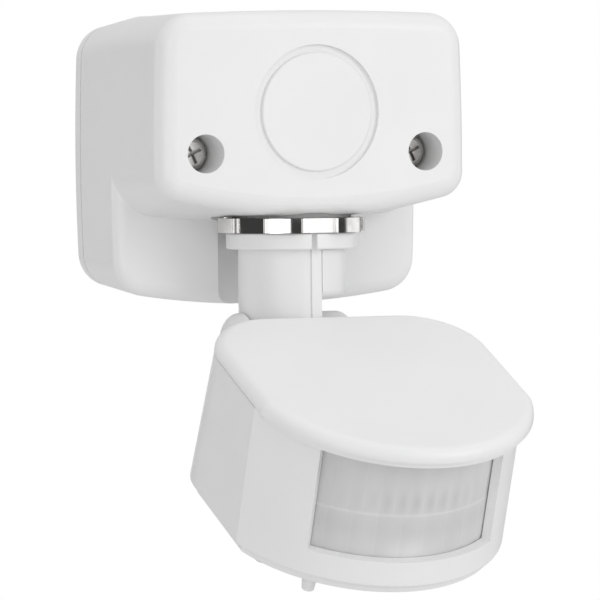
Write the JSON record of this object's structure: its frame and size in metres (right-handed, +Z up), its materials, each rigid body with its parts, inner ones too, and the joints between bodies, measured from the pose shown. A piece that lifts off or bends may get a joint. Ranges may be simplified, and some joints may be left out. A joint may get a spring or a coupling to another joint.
{
  "type": "motion sensor",
  "caption": "Wall-mounted motion sensor: stepped wiring box, short swivelling conduit arm and a tilting visored head with a curved lens window.",
  "frame": {"origin": "wall plane, at the middle of the wiring box's back", "axes": "+Y into the wall, +Z up, +X to the right seen from the front; the sensor looks along -Y"},
  "size_m": [0.0668, 0.1007, 0.1134],
  "materials": {
    "white_housing": "fine satin moulded white",
    "white_knob": "satin moulded white",
    "grey_rubber": "matt rubber",
    "zinc_steel": "zinc plated",
    "bright_zinc": "bright plated",
    "brass": "satin",
    "terminal_plastic": "satin moulded",
    "lead_insulation": "smooth insulation",
    "lens_film": "translucent milky moulding with fine facets",
    "dark_plastic": "satin moulded black",
    "circuit_board": "solder-masked board",
    "cell_resin": "clear-coated",
    "red_resin": "translucent red",
    "capacitor_resin": "dipped resin"
  },
  "bodies": {
    "wall_box": {"wall_plate": "white_housing", "cover_gasket": "grey_rubber", "front_cover": "white_housing", "blanking_disc": "white_housing", "cover_screws": "zinc_steel", "entry_grommet": "grey_rubber", "terminal_block": "terminal_plastic", "terminal_screws": "brass", "stem_seal": "grey_rubber"},
    "arm": {"arm_body": "white_housing", "arm_cover": "white_housing", "supply_leads": "lead_insulation"},
    "locknut": {"locknut": "bright_zinc"},
    "sensor_head": {"head_housing": "white_housing", "top_cover": "white_housing", "bottom_cover": "white_housing", "head_seal": "grey_rubber", "fresnel_lens": "lens_film", "lens_frame": "dark_plastic", "main_board": "circuit_board", "sensor_board": "circuit_board", "pir_can": "zinc_steel", "pir_window": "dark_plastic", "light_cell": "cell_resin", "status_led": "red_resin", "relay": "dark_plastic", "film_capacitor": "capacitor_resin", "electrolytic": "dark_plastic", "adjusters": "terminal_plastic", "bottom_screws": "zinc_steel", "pivot_screw": "zinc_steel", "pivot_nut": "zinc_steel"},
    "knob_time": {"knob_time": "white_knob"},
    "knob_lux": {"knob_lux": "white_knob"},
    "knob_range": {"knob_range": "white_knob"}
  },
  "joints": [
    {"name": "arm_swivel", "type": "hinge", "parent": "wall_box", "child": "arm", "pos_m": [0, -0.0345, -0.0165], "axis": [0, 0, 1], "range_deg": [-80, 80]},
    {"name": "locknut_turn", "type": "hinge", "parent": "arm", "child": "locknut", "pos_m": [0, -0.0345, -0.0133], "axis": [0, 0, 1], "range_deg": [0, 60]},
    {"name": "head_tilt", "type": "hinge", "parent": "arm", "child": "sensor_head", "pos_m": [0, -0.0345, -0.0382], "axis": [1, 0, 0], "range_deg": [-3, 55]},
    {"name": "knob_time_turn", "type": "hinge", "parent": "sensor_head", "child": "knob_time", "pos_m": [-0.0129, -0.07277, -0.07871], "axis": [0, -0.4163, 0.9092], "range_deg": [-135, 135]},
    {"name": "knob_lux_turn", "type": "hinge", "parent": "sensor_head", "child": "knob_lux", "pos_m": [0.0024, -0.07141, -0.07808], "axis": [0, -0.4163, 0.9092], "range_deg": [-135, 135]},
    {"name": "knob_range_turn", "type": "hinge", "parent": "sensor_head", "child": "knob_range", "pos_m": [0.0174, -0.07004, -0.07746], "axis": [0, -0.4163, 0.9092], "range_deg": [-135, 135]}
  ]
}
